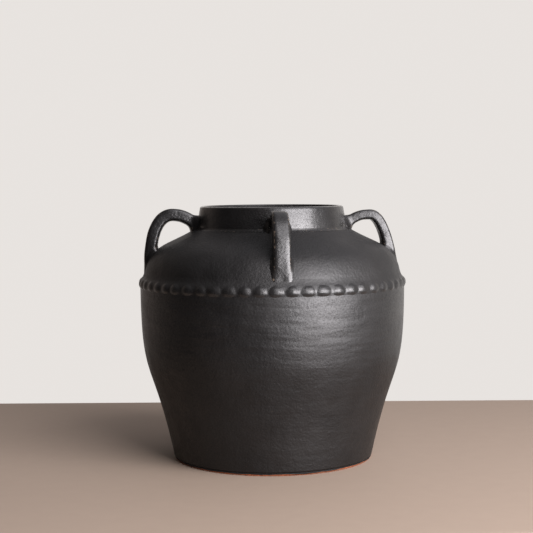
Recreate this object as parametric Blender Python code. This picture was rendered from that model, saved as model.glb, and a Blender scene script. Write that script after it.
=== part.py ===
"""Black clay pot, modelled as a potter puts it together: a clay floor, a thrown wall, a
shoulder and a collar set one on the other, a beaded coil over the seam, and four strap
handles, each luted to the collar and to the shoulder. Metres, +Z up, standing on Z = 0."""

import math

import bmesh
import bpy
import numpy as np
from mathutils import Vector

# Floor and wall
FOOT_RADIUS = 0.0989
FOOT_BEVEL = 0.0010
BARE_FOOT_HEIGHT = 0.0024
FLOOR_THICKNESS = 0.0100
FLOOR_COIL_RADIUS = 0.0100
WALL_HEIGHT = 0.1767
WALL_RADIUS = 0.1317
WALL_THICKNESS = 0.0075

# Shoulder, set on the wall a little inside its outer edge
SHOULDER_SETBACK = 0.0035
SHOULDER_RISE = 0.0511
SHOULDER_THICKNESS = 0.0075
SEAM_COIL_WIDTH = 0.0060

# Collar, standing on the shoulder
COLLAR_RADIUS = 0.0746
COLLAR_FLARE = 0.0026
COLLAR_TAPER = 0.0020
COLLAR_HEIGHT = 0.0235
COLLAR_THICKNESS = 0.0062
RIM_ROUNDING = 0.0018

# Beaded band over the seam
BEAD_COUNT = 56
BAND_HEIGHT = 0.0136
BEAD_RELIEF = 0.0013
GROOVE_RELIEF = 0.0005

# Strap handles, measured from the neck and the seam that they spring from
HANDLE_THICKNESS = 0.0116
HANDLE_WIDTH = 0.0152
HANDLE_ROOT_WIDTH = 0.0178
HANDLE_COLLAR_RISE = 0.0055
HANDLE_ARCH_RISE = 0.0156
HANDLE_ROOT_RISE = 0.0085
LUTING_RADIUS = 0.0040

# Space left at every joint between two pieces
JOINT_GAP = 0.0003

# Fullness of the curves, as shares of the run or rise that each one crosses
FOOT_LEAN = 0.211
WALL_LOW_PULL = 0.605
WALL_HIGH_PULL = 0.59
SHOULDER_LEAN = 0.016
SHOULDER_LOW_PULL = 0.71
SHOULDER_HIGH_PULL = 0.526
NECK_SLOPE = 0.585
HANDLE_ARCH_SHARE = 0.53
HANDLE_SPRING_SLOPE = 0.80
HANDLE_SPRING_PULL = 0.46
HANDLE_CROWN_PULL = 0.30
HANDLE_ELBOW_SHARE = 0.15
HANDLE_BEND_PULL = 0.65
STRAP_SQUARENESS = 4.0

# Facets
SEGMENTS = 64
CURVE_STEPS = 200
WALL_STEPS = 10
SHOULDER_STEPS = 9
INSIDE_STEPS = 5
FILLET_STEPS = 3
STRAP_SIDES = 16
STRAP_RINGS = 18
BEAD_COLUMNS = (0.0, 0.14, 0.36, 0.64, 0.86)
BAND_ROWS = (-0.72, -0.3, 0.12, 0.56)

HANDLE_TURNS = {"front": -90, "right": 0, "back": 90, "left": 180}

# Places that follow from the sizes
NECK_HEIGHT = WALL_HEIGHT + SHOULDER_RISE
RIM_HEIGHT = NECK_HEIGHT + COLLAR_HEIGHT
SHOULDER_RADIUS = WALL_RADIUS - SHOULDER_SETBACK
NECK_RADIUS = COLLAR_RADIUS + COLLAR_FLARE
RIM_RADIUS = COLLAR_RADIUS - COLLAR_TAPER
BORE_RADIUS = RIM_RADIUS - COLLAR_THICKNESS


def bezier(points, steps=CURVE_STEPS):
    """Points of one cubic curve, ends included."""
    a, b, c, d = (np.array(p, float) for p in points)
    t = np.linspace(0.0, 1.0, steps + 1)[:, None]
    return (1 - t) ** 3 * a + 3 * t * (1 - t) ** 2 * b + 3 * t**2 * (1 - t) * c + t**3 * d


def offset(curve, distance):
    """The curve moved sideways: a rising profile moves outwards for a positive distance."""
    along = np.gradient(curve, axis=0)
    outward = np.stack([along[:, 1], -along[:, 0]], axis=1)
    return curve + distance * outward / np.linalg.norm(outward, axis=1)[:, None]


def between(curve, low, high, steps):
    """Even points of a rising curve from one height to another."""
    place = np.arange(len(curve))
    ends = np.interp((low, high), curve[:, 1], place)
    at = np.linspace(*ends, steps + 1)
    points = np.stack([np.interp(at, place, curve[:, k]) for k in (0, 1)], axis=1)
    points[0, 1], points[-1, 1] = low, high
    return points


def radius_at(curve, height):
    return float(np.interp(height, curve[:, 1], curve[:, 0]))


def arc(centre, radius, start, end, steps=FILLET_STEPS):
    """Points of a circular arc in the profile plane, angles in degrees from the radial direction."""
    turns = np.radians(np.linspace(start, end, steps + 1))
    return np.stack([centre[0] + radius * np.cos(turns), centre[1] + radius * np.sin(turns)], axis=1)


def wall_curve():
    low, high = WALL_LOW_PULL * WALL_HEIGHT, WALL_HIGH_PULL * WALL_HEIGHT
    return bezier((
        (FOOT_RADIUS, 0.0),
        (FOOT_RADIUS + FOOT_LEAN * low, low),
        (WALL_RADIUS, WALL_HEIGHT - high),
        (WALL_RADIUS, WALL_HEIGHT),
    ))


def shoulder_curve():
    low = SHOULDER_LOW_PULL * SHOULDER_RISE
    high = SHOULDER_HIGH_PULL * (SHOULDER_RADIUS - NECK_RADIUS)
    return bezier((
        (SHOULDER_RADIUS, WALL_HEIGHT),
        (SHOULDER_RADIUS - SHOULDER_LEAN * low, WALL_HEIGHT + low),
        (NECK_RADIUS + high, NECK_HEIGHT - NECK_SLOPE * high),
        (NECK_RADIUS, NECK_HEIGHT),
    ))


def collar_side():
    """The collar's outside from its flared foot up to the lip's outer edge."""
    flare_top = NECK_HEIGHT + JOINT_GAP + COLLAR_FLARE
    flare = arc((NECK_RADIUS, flare_top), COLLAR_FLARE, 270, 180)
    lip = arc((RIM_RADIUS - RIM_ROUNDING, RIM_HEIGHT - RIM_ROUNDING), RIM_ROUNDING, 5, 90)
    return np.concatenate([flare, lip])


WALL = wall_curve()
WALL_INSIDE = offset(WALL, -WALL_THICKNESS)
SHOULDER = shoulder_curve()
SHOULDER_INSIDE = offset(SHOULDER, -SHOULDER_THICKNESS)
COLLAR = collar_side()


def material(name, colour, roughness):
    made = bpy.data.materials.new(name)
    made.use_nodes = True
    shader = made.node_tree.nodes["Principled BSDF"]
    shader.inputs["Base Color"].default_value = (*colour, 1.0)
    shader.inputs["Roughness"].default_value = roughness
    shader.inputs["Metallic"].default_value = 0.0
    return made


def finished(name, shape, finish, sharp_angle=40):
    """An object made of a bmesh, with its faces pointing out and its round parts shaded smooth."""
    bmesh.ops.recalc_face_normals(shape, faces=shape.faces)
    mesh = bpy.data.meshes.new(name)
    shape.to_mesh(mesh)
    shape.free()
    mesh.shade_smooth()
    mesh.set_sharp_from_angle(angle=math.radians(sharp_angle))
    mesh.materials.append(finish)
    made = bpy.data.objects.new(name, mesh)
    bpy.context.scene.collection.objects.link(made)
    return made


def turned(name, outline, finish):
    """A solid of revolution. The outline is closed, or starts and ends on the axis."""
    shape = bmesh.new()
    corners = [shape.verts.new((r, 0.0, z)) for r, z in outline]
    on_axis = outline[0][0] == 0.0
    for first, second in zip(corners, corners[1:] if on_axis else corners[1:] + corners[:1]):
        shape.edges.new((first, second))
    bmesh.ops.spin(
        shape, geom=shape.verts[:] + shape.edges[:], axis=(0, 0, 1), cent=(0, 0, 0),
        angle=math.tau, steps=SEGMENTS, use_merge=True,
    )
    bmesh.ops.remove_doubles(shape, verts=shape.verts, dist=1e-6)
    return finished(name, shape, finish)


def skinned(name, rings, finish, closed=False):
    """A solid through rings of points: joined end to end if closed, and capped otherwise."""
    shape = bmesh.new()
    loops = [[shape.verts.new(p) for p in ring] for ring in rings]
    for ring, after in zip(loops, loops[1:] + loops[:1] if closed else loops[1:]):
        for k in range(len(ring)):
            shape.faces.new((ring[k - 1], ring[k], after[k], after[k - 1]))
    if not closed:
        shape.faces.new(loops[0])
        shape.faces.new(loops[-1])
    return finished(name, shape, finish)


def base_disc(finish):
    """The floor: a boss inside the wall's foot, on a bare clay edge that the wall stands on."""
    seat = BARE_FOOT_HEIGHT
    boss = [radius_at(WALL_INSIDE, z) - JOINT_GAP for z in (seat, FLOOR_THICKNESS)]
    foot = radius_at(WALL, seat)
    return turned("base_disc", [
        (0.0, FLOOR_THICKNESS), (boss[1], FLOOR_THICKNESS), (boss[0], seat), (foot, seat),
        (FOOT_RADIUS, FOOT_BEVEL), (FOOT_RADIUS - FOOT_BEVEL, 0.0), (0.0, 0.0),
    ], finish)


def body_wall(finish):
    """The thrown wall, from the bare foot line up to the seam."""
    low = BARE_FOOT_HEIGHT + JOINT_GAP
    outside = between(WALL, low, WALL_HEIGHT, WALL_STEPS)
    inside = between(WALL_INSIDE, low, WALL_HEIGHT, INSIDE_STEPS)
    return turned("body_wall", [*outside[::-1], *inside], finish)


def floor_coil(finish):
    """The coil pressed into the angle between the floor and the wall, wiped hollow."""
    low, reach = FLOOR_THICKNESS + JOINT_GAP, FLOOR_COIL_RADIUS
    side = offset(between(WALL_INSIDE, low, low + reach, FILLET_STEPS), -JOINT_GAP)
    centre = (side[0][0] - reach, low + reach)
    hollow = arc(centre, reach, 0, -90)[1:]
    return turned("floor_coil", [*side[::-1], *hollow[::-1]], finish)


def shoulder(finish):
    """The thrown shoulder, from the seam to the flat seat under the collar."""
    low = WALL_HEIGHT + JOINT_GAP
    outside = between(SHOULDER, low, NECK_HEIGHT, SHOULDER_STEPS)
    top_inside = float(np.interp(-BORE_RADIUS, -SHOULDER_INSIDE[:, 0], SHOULDER_INSIDE[:, 1]))
    inside = between(SHOULDER_INSIDE, low, top_inside, INSIDE_STEPS)
    return turned("shoulder", [*outside[::-1], *inside, (BORE_RADIUS, NECK_HEIGHT)], finish)


def seam_coil(finish):
    """The coil pressed into the inside of the seam, below the shoulder's overhang."""
    top, width = WALL_HEIGHT, SEAM_COIL_WIDTH
    side = offset(between(WALL_INSIDE, top - width, top, FILLET_STEPS), -JOINT_GAP)
    inner = radius_at(SHOULDER_INSIDE, WALL_HEIGHT)
    low_pull = (side[0][0] - width / 2, top - width / 2)
    swell = bezier((side[0], low_pull, (inner, top - width / 2), (inner, top)), FILLET_STEPS)
    return turned("seam_coil", [*side[::-1], *swell[1:]], finish)


def neck_collar(finish):
    """The upright collar with its flared foot, flat lip and straight bore."""
    rounding = RIM_ROUNDING / 2
    inner_lip = arc((BORE_RADIUS + rounding, RIM_HEIGHT - rounding), rounding, 90, 180)
    foot = (BORE_RADIUS, NECK_HEIGHT + JOINT_GAP)
    return turned("neck_collar", [*COLLAR[::-1], foot, *inner_lip[::-1]], finish)


def beaded_band(finish):
    """The coil bedded in the step at the seam and pressed into a row of beads."""
    low, high = WALL_HEIGHT - BAND_HEIGHT / 2, WALL_HEIGHT + BAND_HEIGHT / 2
    bottom = (radius_at(WALL, low) + JOINT_GAP, low)
    top = (radius_at(SHOULDER, high) + JOINT_GAP, high)
    seat = WALL_HEIGHT + JOINT_GAP
    back = [top, (SHOULDER_RADIUS + JOINT_GAP, seat), (WALL_RADIUS + JOINT_GAP, seat), bottom]
    rings = []
    for bead in range(BEAD_COUNT):
        for column in BEAD_COLUMNS:
            swell = math.sqrt(math.sin(math.pi * column))
            relief = GROOVE_RELIEF + (BEAD_RELIEF - GROOVE_RELIEF) * swell
            front = []
            for row in BAND_ROWS:
                radius = bottom[0] + max(row, 0.0) * (top[0] - bottom[0]) + relief * (1 - row * row) ** 0.8
                front.append((radius, low + (1 + row) / 2 * BAND_HEIGHT))
            turn = math.tau * (bead + column) / BEAD_COUNT
            rings.append([(r * math.cos(turn), r * math.sin(turn), z) for r, z in back + front])
    return skinned("beaded_band", rings, finish, closed=True)


def handle_line():
    """The middle line of a strap in its own plane, from inside the collar to inside the shoulder."""
    spring = np.array((COLLAR_RADIUS, NECK_HEIGHT + HANDLE_COLLAR_RISE))
    root = WALL_HEIGHT + HANDLE_ROOT_RISE
    leg = radius_at(SHOULDER, root) - HANDLE_THICKNESS / 2
    arch = np.array((spring[0] + HANDLE_ARCH_SHARE * (leg - spring[0]), NECK_HEIGHT + HANDLE_ARCH_RISE))
    elbow = np.array((leg, root + HANDLE_ELBOW_SHARE * (arch[1] - root)))
    run, bend_run, drop = arch[0] - spring[0], leg - arch[0], arch[1] - elbow[1]
    into = np.array((1.0, HANDLE_SPRING_SLOPE)) * HANDLE_SPRING_PULL * run
    rise = bezier((spring, spring + into, arch - (HANDLE_CROWN_PULL * run, 0), arch))
    pulls = (HANDLE_BEND_PULL * bend_run, 0), (0, HANDLE_BEND_PULL * drop)
    bend = bezier((arch, arch + pulls[0], elbow + pulls[1], elbow))
    start = spring - into * COLLAR_THICKNESS / into[0] / 2
    end = np.array((leg, WALL_HEIGHT + BAND_HEIGHT / 4))
    return np.concatenate([[start], rise, bend[1:], [end]])


HANDLE = handle_line()
HANDLE_LENGTH = np.concatenate([[0.0], np.cumsum(np.linalg.norm(np.diff(HANDLE, axis=0), axis=1))])

# The outside that the handles are fitted to: shoulder and collar in one line, from the seam up
SKIN = np.concatenate([SHOULDER[:-1], COLLAR])


def skin_distance(point):
    """How far a point lies outside the shoulder and collar, and their outward direction there."""
    reach = math.hypot(point[0], point[1])
    spot = np.array((reach, point[2]))
    starts, runs = SKIN[:-1], np.diff(SKIN, axis=0)
    share = ((spot - starts) * runs).sum(axis=1) / (runs * runs).sum(axis=1)
    nearest = starts + np.clip(share, 0, 1)[:, None] * runs
    k = int(np.argmin(np.linalg.norm(spot - nearest, axis=1)))
    outward = np.array((runs[k][1], -runs[k][0])) / np.linalg.norm(runs[k])
    direction = Vector((outward[0] * point[0] / reach, outward[0] * point[1] / reach, outward[1]))
    return float((spot - nearest[k]) @ outward), direction


def strap_point(distance, turn, spread=0.0):
    """A point of a strap's squared oval section, and the way its side faces there."""
    step = HANDLE_LENGTH[-1] / (4 * STRAP_RINGS)
    before, at, after = (
        np.array([np.interp(distance + move, HANDLE_LENGTH, HANDLE[:, k]) for k in (0, 1)])
        for move in (-step, 0, step)
    )
    along = (after - before) / np.linalg.norm(after - before)
    over = Vector((-along[1], 0.0, along[0]))
    share = distance / HANDLE_LENGTH[-1]
    half_width = (HANDLE_WIDTH + (HANDLE_ROOT_WIDTH - HANDLE_WIDTH) * share**2) / 2 + spread
    half_depth = HANDLE_THICKNESS / 2 + spread
    c, s = math.cos(turn), math.sin(turn)
    reach = (abs(c) ** STRAP_SQUARENESS + abs(s) ** STRAP_SQUARENESS) ** (-1 / STRAP_SQUARENESS)
    side = (Vector((0.0, c, 0.0)) + over * s).normalized()
    return Vector((at[0], half_width * reach * c, at[1])) + over * half_depth * reach * s, side


def strap(name, finish):
    """A whole strap, both ends still running into the pot."""
    turns = [math.tau * (k + 0.5) / STRAP_SIDES for k in range(STRAP_SIDES)]
    places = np.linspace(0.0, HANDLE_LENGTH[-1], STRAP_RINGS)
    return skinned(name, [[strap_point(d, turn)[0] for turn in turns] for d in places], finish)


def clear_of_skin(turn, inside, outside, wanted):
    """The distance along a strap at which its side stands a wanted distance off the skin."""
    for _ in range(40):
        middle = (inside + outside) / 2
        if skin_distance(strap_point(middle, turn, JOINT_GAP)[0])[0] < wanted:
            inside = middle
        else:
            outside = middle
    return outside


def luting_section(turn, end):
    """The fillet at one place round a strap's end: up the strap, and out over the skin."""
    middle = HANDLE_LENGTH[-1] * HANDLE_ARCH_SHARE
    corner, side = strap_point(clear_of_skin(turn, end, middle, JOINT_GAP), turn, JOINT_GAP)
    outward = skin_distance(corner)[1]
    reach = LUTING_RADIUS * (1 - max(0.0, side.dot(outward)))
    top = strap_point(clear_of_skin(turn, end, middle, reach), turn, JOINT_GAP)[0]
    foot = corner + (side - outward * side.dot(outward)).normalized() * reach
    height, outward = skin_distance(foot)
    foot -= outward * (height - JOINT_GAP)
    hollow = []
    for k in range(1, FILLET_STEPS):
        t = k / FILLET_STEPS
        hollow.append(foot * (1 - t) ** 2 + corner * 2 * t * (1 - t) + top * t * t)
    return [top, corner, foot, *hollow]


def luting(name, finish, end, sides):
    """The roll of soft clay wiped into the angle between one end of a strap and the skin."""
    sections = [luting_section(math.tau * (k + 0.5) / STRAP_SIDES, end) for k in sides]
    return skinned(name, sections, finish, closed=len(sides) == STRAP_SIDES)


def skin_cutter(finish):
    """Everything inside the shoulder, the collar and the band, with the joint's gap round it."""
    low, high = WALL_HEIGHT - BAND_HEIGHT, WALL_HEIGHT + BAND_HEIGHT / 2
    crest = WALL_RADIUS + BEAD_RELIEF + JOINT_GAP
    rising = offset(between(SHOULDER, high, NECK_HEIGHT, SHOULDER_STEPS), JOINT_GAP)
    collar = offset(COLLAR, JOINT_GAP)
    outline = [(0.0, collar[-1][1]), *collar[::-1], *rising[1:][::-1],
               (rising[0][0], high + JOINT_GAP), (crest, high + JOINT_GAP), (crest, low), (0.0, low)]
    cutter = turned("skin_cutter", outline, finish)
    cutter.hide_render = True
    cutter.display_type = "WIRE"
    return cutter


def place_round(name, made):
    """Four copies of one handle piece, a quarter turn apart, in place of the first."""
    mesh = made.data
    mesh.name = name
    bpy.data.objects.remove(made)
    for side, degrees in HANDLE_TURNS.items():
        copy = bpy.data.objects.new(f"{name}_{side}", mesh)
        copy.rotation_euler.z = math.radians(degrees)
        bpy.context.scene.collection.objects.link(copy)


def handles(finish):
    """The four straps, and the fillets of soft clay that lute each one at its two ends."""
    blank = strap("handle_blank", finish)
    fit = blank.modifiers.new("fit", "BOOLEAN")
    fit.operation = "DIFFERENCE"
    fit.solver = "EXACT"
    fit.object = skin_cutter(finish)
    seen = blank.evaluated_get(bpy.context.evaluated_depsgraph_get())
    blank.data = bpy.data.meshes.new_from_object(seen)
    place_round("handle", blank)
    place_round("upper_luting", luting("upper", finish, 0.0, range(STRAP_SIDES)))
    open_side = STRAP_SIDES // 4 - 2
    lower_sides = range(STRAP_SIDES // 2 - open_side, STRAP_SIDES + open_side)
    place_round("lower_luting", luting("lower", finish, HANDLE_LENGTH[-1], lower_sides))


def main():
    for obj in list(bpy.data.objects):
        bpy.data.objects.remove(obj)
    glaze = material("black_glaze", (0.022, 0.021, 0.021), 0.42)
    bare = material("bare_clay", (0.36, 0.13, 0.06), 0.90)
    base_disc(bare)
    floor_coil(glaze)
    body_wall(glaze)
    seam_coil(glaze)
    shoulder(glaze)
    neck_collar(glaze)
    beaded_band(glaze)
    handles(glaze)


main()
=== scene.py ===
"""The black clay pot as it is seen: glazed skin, pressed beads, pulled handles, bare foot."""

import math

import bmesh
import bpy
from mathutils import Matrix, Vector


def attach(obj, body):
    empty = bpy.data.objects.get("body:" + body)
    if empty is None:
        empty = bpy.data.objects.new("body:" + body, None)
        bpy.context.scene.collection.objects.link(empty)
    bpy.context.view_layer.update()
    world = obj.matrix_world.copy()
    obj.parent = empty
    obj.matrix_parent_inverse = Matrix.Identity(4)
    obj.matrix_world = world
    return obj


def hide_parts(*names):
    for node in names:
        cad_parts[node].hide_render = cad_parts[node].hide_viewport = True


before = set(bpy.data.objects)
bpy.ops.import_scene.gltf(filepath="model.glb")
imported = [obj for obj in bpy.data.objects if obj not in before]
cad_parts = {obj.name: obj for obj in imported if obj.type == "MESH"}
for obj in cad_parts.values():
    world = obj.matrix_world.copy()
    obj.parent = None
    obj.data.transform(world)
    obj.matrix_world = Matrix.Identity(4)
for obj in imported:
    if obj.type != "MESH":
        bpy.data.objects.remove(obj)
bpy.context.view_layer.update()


# The floor is a disc of red clay. The glaze was wiped off its edge before firing, so an
# uneven line of bare clay shows under the black, and the underside keeps the marks of the
# wire that cut the pot off the wheel.
FOOT_RADIUS = 0.0989
FOOT_LEAN = 0.211
FOOT_BEVEL = 0.0010
FOOT_BEVEL_SHAPE = ((1.6, 0.0), (0.6, 0.3), (0.0, 1.0))  # in from the edge and up, in bevels
FOOT_LAP = 0.0004
BARE_EDGE = 0.0024
FLOOR_TOP = 0.0100
FLOOR_BOSS = 0.0918
OUT_OF_ROUND = 0.0007
WOBBLE = (0.8, 1.0)  # noise scale round the wheel and its detail
WOBBLE_CLIMB = 9.0
TRUE_WITHIN = 0.020
WHEEL_SEED = 3.0
WHEEL_FACETS = 192
SEAM_MERGE = 2e-6

BARE_CLAY = (0.29, 0.076, 0.028, 1.0)
BARE_CLAY_PALE = (0.40, 0.135, 0.060, 1.0)
BARE_ROUGHNESS = 0.9
GROG = (900.0, 4.0)  # noise scale to the metre and its detail, here and below
GROG_SHOWS = (0.35, 0.7)
GROG_DEPTH = 0.00022
SMOKE = (30.0, 3.0)
SMOKE_SHOWS = (0.35, 0.65, 0.0, 0.4)
WIPED_EDGE = (34.0, 4.0)
WIPED_EDGE_RISE = 0.0030
WIPED_EDGE_START = -0.0001
WIPED_EDGE_BLUR = 0.00015
GLAZE_STEP = 0.0003
WIRE_MARKS = {"Scale": 42.0, "Distortion": 1.5, "Detail": 2.0}
WIRE_CENTRE = (0.21, 0.05, 0.0)
WIRE_DEPTH = 0.00018


def put(tree, kind, sockets=None, **settings):
    """Adds a node, sets its options, and fills its sockets with links or plain values."""
    made = tree.nodes.new(kind)
    for name, value in settings.items():
        setattr(made, name, value)
    for key, value in (sockets or {}).items():
        if isinstance(value, bpy.types.NodeSocket):
            tree.links.new(value, made.inputs[key])
        else:
            made.inputs[key].default_value = value
    return made


def calc(tree, operation, *values):
    """One arithmetic node, as its output."""
    return put(tree, "ShaderNodeMath", dict(enumerate(values)), operation=operation).outputs[0]


def steer(tree, operation, *values):
    """One vector node, as its output: an arrow, or a plain value where it gives one."""
    made = put(tree, "ShaderNodeVectorMath", dict(enumerate(values)), operation=operation)
    return made.outputs["Value" if operation in ("LENGTH", "DOT_PRODUCT") else "Vector"]


def split(tree, place):
    """The three axes of a place, as outputs."""
    return put(tree, "ShaderNodeSeparateXYZ", {0: place}).outputs


def placed(tree, x=0.0, y=0.0, z=0.0):
    """A place from its three axes, as an output."""
    return put(tree, "ShaderNodeCombineXYZ", {0: x, 1: y, 2: z}).outputs[0]


def ramped(tree, value, low, high, out_low=0.0, out_high=1.0):
    """A value eased from one range to another, as an output."""
    sockets = {0: value, 1: low, 2: high, 3: out_low, 4: out_high}
    return put(tree, "ShaderNodeMapRange", sockets, interpolation_type="SMOOTHSTEP").outputs[0]


def blended(tree, share, first, second):
    """A colour mixed from two others, as an output."""
    return put(tree, "ShaderNodeMix", {0: share, 6: first, 7: second}, data_type="RGBA").outputs[2]


def speckle(tree, place, scale, detail):
    """Fine noise at a place, from 0 to 1, as an output."""
    sockets = {"Vector": place, "Scale": scale, "Detail": detail}
    return put(tree, "ShaderNodeTexNoise", sockets).outputs[0]


def object_place(tree):
    """Where a point of the piece is, as an output."""
    return put(tree, "ShaderNodeTexCoord").outputs["Object"]


def group_with(name, kind, inputs, outputs):
    """An empty node group and its two ends. An input is a number, or a kind of socket with no value."""
    tree = bpy.data.node_groups.new(name, kind)
    for label, value in inputs.items():
        socket = {int: "Int", float: "Float"}.get(type(value), value)
        made = tree.interface.new_socket(label, in_out="INPUT", socket_type=f"NodeSocket{socket}")
        if socket != value:
            made.default_value = value
    for label, socket in outputs.items():
        tree.interface.new_socket(label, in_out="OUTPUT", socket_type=f"NodeSocket{socket}")
    given, result = tree.nodes.new("NodeGroupInput"), tree.nodes.new("NodeGroupOutput")
    return tree, given.outputs, result.inputs


GLAZE_BLACK = (0.0060, 0.0055, 0.0055, 1.0)
GLAZE_CLOUD = (0.0098, 0.0088, 0.0086, 1.0)
# Brown of thin glaze; along the collar lip the same brown is also a painted highlight line.
THIN_GLAZE_AND_LIP_SHEEN = (0.105, 0.080, 0.060, 1.0)
GLAZE_IOR = 1.52
CLOUDS = (24.0, 5.0)
HALF_SHOWN = (0.3, 0.7)
GRIT = (420.0, 4.0)
GRIT_WORN = 0.42
GRIT_SHOWS = (0.90, 1.08)
PINHOLE_CELLS = 95.0
PINHOLE_EDGE = (0.035, 0.085)
PINHOLE_RARITY = 0.93
PINHOLE_BROWN = 0.35
PINHOLE_DEPTH = 0.00012
THROWN_LINES = (135.0, 1.4)
LINE_DRIFT = (9.0, 2.0)
LINE_DRIFT_HEIGHT = 0.012
LINE_STRETCH = 0.16
LINE_DEPTH = 0.00026
GLAZE_RUNS = (130.0, 2.0)
RUN_STRETCH = (1.0, 1.0, 0.07)
RUN_DEPTH = 0.00030
GRAIN = (430.0, 3.0)
GRAIN_DEPTH = 0.00074
ORANGE_PEEL = (110.0, 2.0)
PEEL_DEPTH = 0.00046
DULL_PATCHES = (55.0, 4.0)
PATCH_ROUGHNESS = 0.05
SPOT_ROUGHNESS = 0.10
SKIN_BREAKS = (700.0, 2.0)
SKIN_BROKEN = (0.32, 0.62, 0.45, 1.0)
SPOT_DULLS = -0.5


def fired_glaze_group():
    """Satin black glaze: clouds, orange peel, throwing lines, pinholes, brown where it ran thin and a
    painted highlight where the thin input marks the collar lip.
    """
    tree, given, result = group_with(
        "fired_glaze", "ShaderNodeTree",
        {"Thin And Lip Sheen": 0.0, "Throwing Lines": 1.0, "Streaks": 0.0, "Satin": 0.5, "Glassy": 0.5},
        {"Color": "Color", "Roughness": "Float", "Skin": "Float", "Height": "Float"},
    )
    place = object_place(tree)
    x, y, z = split(tree, place)
    cloud = ramped(tree, speckle(tree, place, *CLOUDS), *HALF_SHOWN)
    tone = blended(tree, cloud, GLAZE_BLACK, GLAZE_CLOUD)

    # Thin input: worn thin glaze, and at the collar lip also a painted highlight line.
    worn_and_lip_sheen = calc(tree, "MULTIPLY", given["Thin And Lip Sheen"], GRIT_WORN)
    thin_and_lip_sheen = ramped(tree, calc(tree, "ADD", worn_and_lip_sheen, speckle(tree, place, *GRIT)), *GRIT_SHOWS)
    cells = put(tree, "ShaderNodeTexVoronoi", {"Vector": place, "Scale": PINHOLE_CELLS}).outputs
    chosen = put(tree, "ShaderNodeSeparateColor", {0: cells["Color"]}).outputs[0]
    near = ramped(tree, cells["Distance"], *PINHOLE_EDGE, 1.0, 0.0)
    pinhole = calc(tree, "MULTIPLY", near, calc(tree, "GREATER_THAN", chosen, PINHOLE_RARITY))
    spots = calc(tree, "MAXIMUM", thin_and_lip_sheen, calc(tree, "MULTIPLY", pinhole, PINHOLE_BROWN))
    tree.links.new(blended(tree, spots, tone, THIN_GLAZE_AND_LIP_SHEEN), result["Color"])

    drift = calc(tree, "MULTIPLY_ADD", speckle(tree, place, *LINE_DRIFT), LINE_DRIFT_HEIGHT, z)
    turned = placed(tree, *(calc(tree, "MULTIPLY", k, LINE_STRETCH) for k in (x, y)), drift)
    lines = calc(tree, "MULTIPLY", speckle(tree, turned, *THROWN_LINES), given["Throwing Lines"])
    upright = steer(tree, "MULTIPLY", place, RUN_STRETCH)
    runs = calc(tree, "MULTIPLY", speckle(tree, upright, *GLAZE_RUNS), given["Streaks"])
    grain = calc(tree, "MULTIPLY", speckle(tree, place, *GRAIN), given["Satin"])
    peel = speckle(tree, place, *ORANGE_PEEL)
    height = calc(tree, "MULTIPLY", grain, GRAIN_DEPTH)
    relief = (lines, LINE_DEPTH), (runs, RUN_DEPTH), (peel, PEEL_DEPTH), (pinhole, -PINHOLE_DEPTH)
    for mark, depth in relief:
        height = calc(tree, "MULTIPLY_ADD", mark, depth, height)
    tree.links.new(height, result["Height"])

    patches = speckle(tree, place, *DULL_PATCHES)
    patches = ramped(tree, patches, *HALF_SHOWN, -PATCH_ROUGHNESS, PATCH_ROUGHNESS)
    rough = calc(tree, "ADD", patches, given["Satin"])
    tree.links.new(calc(tree, "MULTIPLY_ADD", spots, SPOT_ROUGHNESS, rough), result["Roughness"])
    broken = ramped(tree, speckle(tree, place, *SKIN_BREAKS), *SKIN_BROKEN)
    broken = calc(tree, "MULTIPLY", broken, calc(tree, "MULTIPLY_ADD", spots, SPOT_DULLS, 1.0))
    tree.links.new(calc(tree, "MULTIPLY", broken, given["Glassy"]), result["Skin"])
    return tree


FIRED_GLAZE = fired_glaze_group()


def clay_material(name):
    """A new material, and its nodes."""
    material = bpy.data.materials.new(name)
    material.use_nodes = True
    return material, material.node_tree


def finish_with(tree, colour, roughness, skin, height, sheen=0.5, skin_roughness=0.23):
    """The one shader of a fired clay surface: a satin body and a thin glassy skin."""
    bump = put(tree, "ShaderNodeBump", {"Height": height, "Distance": 1.0})
    shader = tree.nodes["Principled BSDF"].inputs
    shader["IOR"].default_value = GLAZE_IOR
    shader["Specular IOR Level"].default_value = sheen
    shader["Coat Roughness"].default_value = skin_roughness
    tree.links.new(colour, shader["Base Color"])
    tree.links.new(roughness, shader["Roughness"])
    tree.links.new(skin, shader["Coat Weight"])
    tree.links.new(bump.outputs[0], shader["Normal"])


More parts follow.
